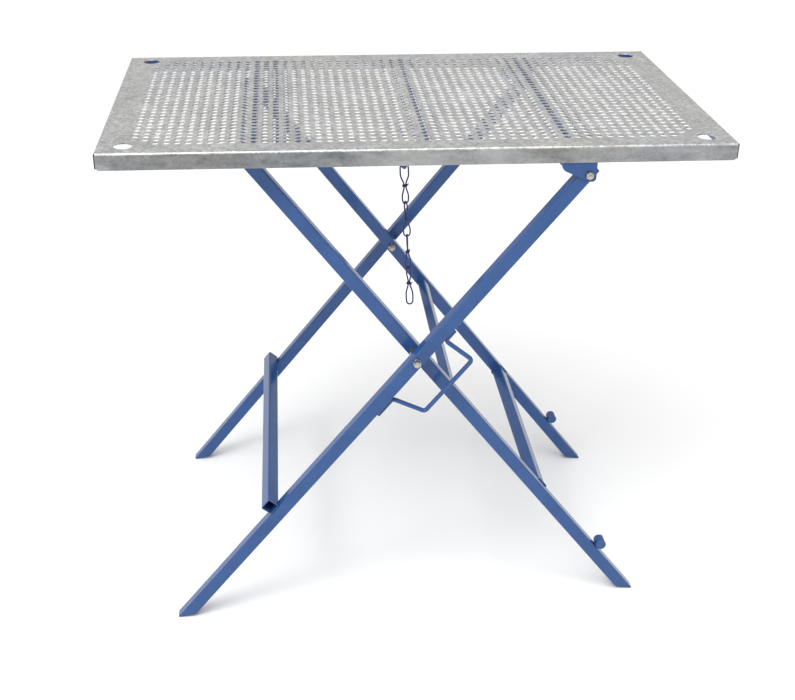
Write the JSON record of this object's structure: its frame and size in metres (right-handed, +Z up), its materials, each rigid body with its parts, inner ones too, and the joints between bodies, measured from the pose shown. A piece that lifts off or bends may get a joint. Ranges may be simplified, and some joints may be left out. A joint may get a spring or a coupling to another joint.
{
  "type": "folding work table",
  "caption": "Folding work table: a perforated steel tray hinged on scissor legs of square tube, with a carrying handle and a hanging chain.",
  "frame": {"origin": "on the floor under the middle of the tray", "axes": "+X along the tray towards its hinged end, +Y to the back, +Z up"},
  "size_m": [0.88, 0.5256, 0.792],
  "materials": {
    "galvanised_sheet": "hot-dip galvanised, spangled",
    "blue_enamel": "gloss enamel",
    "zinc_plated_steel": "zinc plated",
    "painted_chain_wire": "gloss enamel over wire"
  },
  "bodies": {
    "outer_frame": {"outer_leg_front": "blue_enamel", "outer_leg_rear": "blue_enamel", "outer_crossbar": "blue_enamel", "carrying_handle": "blue_enamel", "pivot_bolt_front": "zinc_plated_steel", "pivot_bolt_rear": "zinc_plated_steel", "pivot_washer_outer_front": "zinc_plated_steel", "pivot_washer_outer_rear": "zinc_plated_steel", "pivot_spacer_front": "zinc_plated_steel", "pivot_spacer_rear": "zinc_plated_steel", "pivot_washer_inner_front": "zinc_plated_steel", "pivot_washer_inner_rear": "zinc_plated_steel", "pivot_nut_front": "zinc_plated_steel", "pivot_nut_rear": "zinc_plated_steel"},
    "inner_frame": {"inner_leg_front": "blue_enamel", "inner_leg_rear": "blue_enamel", "inner_top_bar": "blue_enamel", "inner_upper_crossbar": "blue_enamel", "inner_lower_crossbar": "blue_enamel", "foot_stub_front": "blue_enamel", "foot_stub_rear": "blue_enamel"},
    "table": {"tray_top": "galvanised_sheet", "tray_rail_front": "blue_enamel", "tray_rail_rear": "blue_enamel", "tray_rail_left": "blue_enamel", "tray_rail_right": "blue_enamel", "rest_rail": "blue_enamel", "gate_rail": "blue_enamel", "centre_rail": "blue_enamel", "hinge_rail": "blue_enamel", "hinge_bracket_front": "blue_enamel", "hinge_bracket_rear": "blue_enamel", "hinge_bolt_front": "zinc_plated_steel", "hinge_bolt_rear": "zinc_plated_steel", "hinge_nut_front": "zinc_plated_steel", "hinge_nut_rear": "zinc_plated_steel", "chain_tab": "blue_enamel", "chain_peg": "blue_enamel"},
    "chain_link_1": {"chain_link_1": "painted_chain_wire", "chain_knot_1": "painted_chain_wire"},
    "chain_link_2": {"chain_link_2": "painted_chain_wire", "chain_knot_2": "painted_chain_wire"},
    "chain_link_3": {"chain_link_3": "painted_chain_wire", "chain_knot_3": "painted_chain_wire"},
    "chain_link_4": {"chain_link_4": "painted_chain_wire", "chain_knot_4": "painted_chain_wire"}
  },
  "joints": [
    {"name": "leg_pivot", "type": "hinge", "parent": "outer_frame", "child": "inner_frame", "pos_m": [0.005, 0, 0.461], "axis": [0, -1, 0], "range_deg": [0, 95]},
    {"name": "table_hinge", "type": "hinge", "parent": "outer_frame", "child": "table", "pos_m": [0.23552, 0, 0.74977], "axis": [0, -1, 0], "range_deg": [0, 47.5]},
    {"name": "chain_hinge_1", "type": "hinge", "parent": "table", "child": "chain_link_1", "pos_m": [-0.018, -0.2245, 0.756], "axis": [0, 1, 0], "range_deg": [-15, 15]},
    {"name": "chain_hinge_2", "type": "hinge", "parent": "chain_link_1", "child": "chain_link_2", "pos_m": [-0.01481, -0.2245, 0.7038], "axis": [0, 1, 0], "range_deg": [-15, 15]},
    {"name": "chain_hinge_3", "type": "hinge", "parent": "chain_link_2", "child": "chain_link_3", "pos_m": [-0.01175, -0.2245, 0.65389], "axis": [0, 1, 0], "range_deg": [-15, 15]},
    {"name": "chain_hinge_4", "type": "hinge", "parent": "chain_link_3", "child": "chain_link_4", "pos_m": [-0.0087, -0.2245, 0.60398], "axis": [0, 1, 0], "range_deg": [-15, 15]}
  ],
  "couplings": [
    {"joint": "table_hinge", "follows": "leg_pivot", "ratio": 0.5}
  ]
}
